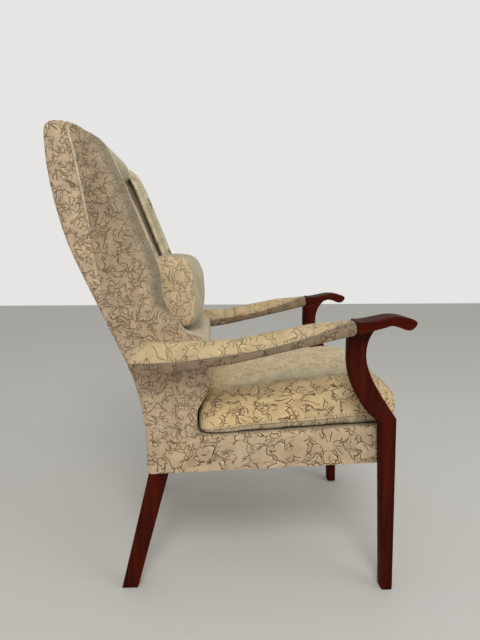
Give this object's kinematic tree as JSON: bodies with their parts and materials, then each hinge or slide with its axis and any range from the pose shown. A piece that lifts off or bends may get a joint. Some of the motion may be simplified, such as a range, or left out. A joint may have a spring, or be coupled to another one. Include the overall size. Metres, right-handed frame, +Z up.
{
  "type": "fireside chair",
  "caption": "High-backed fireside armchair with side wings, padded arms, shaped front legs, a loose piped seat cushion and a lumbar cushion.",
  "frame": {"origin": "on the floor, halfway between the sides and halfway between the tips of the arms and the head of the back", "axes": "+Z up, the chair faces -Y, its left-hand side is +X"},
  "size_m": [0.6366, 0.769, 1.043],
  "materials": {
    "show_wood": "satin dark red varnish",
    "frame_wood": "planed, bare",
    "wing_board": "plywood",
    "cover_fabric": "figured cut velvet",
    "lining_cloth": "plain weave",
    "foam": "foam and wadding",
    "webbing": "rubberised webbing",
    "steel": "zinc plated"
  },
  "bodies": {
    "frame": {"front_leg_left": "show_wood", "front_leg_right": "show_wood", "arm_board_left": "show_wood", "arm_board_right": "show_wood", "back_post_left": "frame_wood", "back_post_right": "frame_wood", "back_top_rail": "frame_wood", "back_lumbar_rail": "frame_wood", "back_base_rail": "frame_wood", "back_rail": "frame_wood", "front_rail": "frame_wood", "side_rail_left": "frame_wood", "side_rail_right": "frame_wood", "corner_blocks": "frame_wood", "leg_dowels": "frame_wood", "arm_dowels": "frame_wood", "wing_board_left": "wing_board", "wing_board_right": "wing_board", "arm_cover_left": "cover_fabric", "arm_cover_right": "cover_fabric", "back_border_left": "cover_fabric", "back_border_right": "cover_fabric", "inside_wing_cover_left": "cover_fabric", "inside_wing_cover_right": "cover_fabric", "outside_wing_cover_left": "cover_fabric", "outside_wing_cover_right": "cover_fabric", "side_rail_cover_left": "cover_fabric", "side_rail_cover_right": "cover_fabric", "inside_back_cover": "cover_fabric", "outside_back_cover": "cover_fabric", "front_rail_cover": "cover_fabric", "lumbar_cushion_cover": "cover_fabric", "back_cloth": "lining_cloth", "platform_cloth": "lining_cloth", "bottom_cloth": "lining_cloth", "arm_foam_left": "foam", "arm_foam_right": "foam", "wing_pad_left": "foam", "wing_pad_right": "foam", "back_foam": "foam", "lumbar_cushion_core": "foam", "back_straps": "webbing", "seat_straps": "webbing", "block_screws": "steel", "arm_bolts": "steel"},
    "seat_cushion": {"seat_cushion_cover": "cover_fabric", "seat_cushion_core": "foam", "seat_cushion_piping": "cover_fabric"}
  },
  "joints": [
    {"name": "cushion_lift", "type": "slide", "parent": "frame", "child": "seat_cushion", "axis": [0, -0.5, 0.866], "range_m": [0, 0.12]}
  ]
}
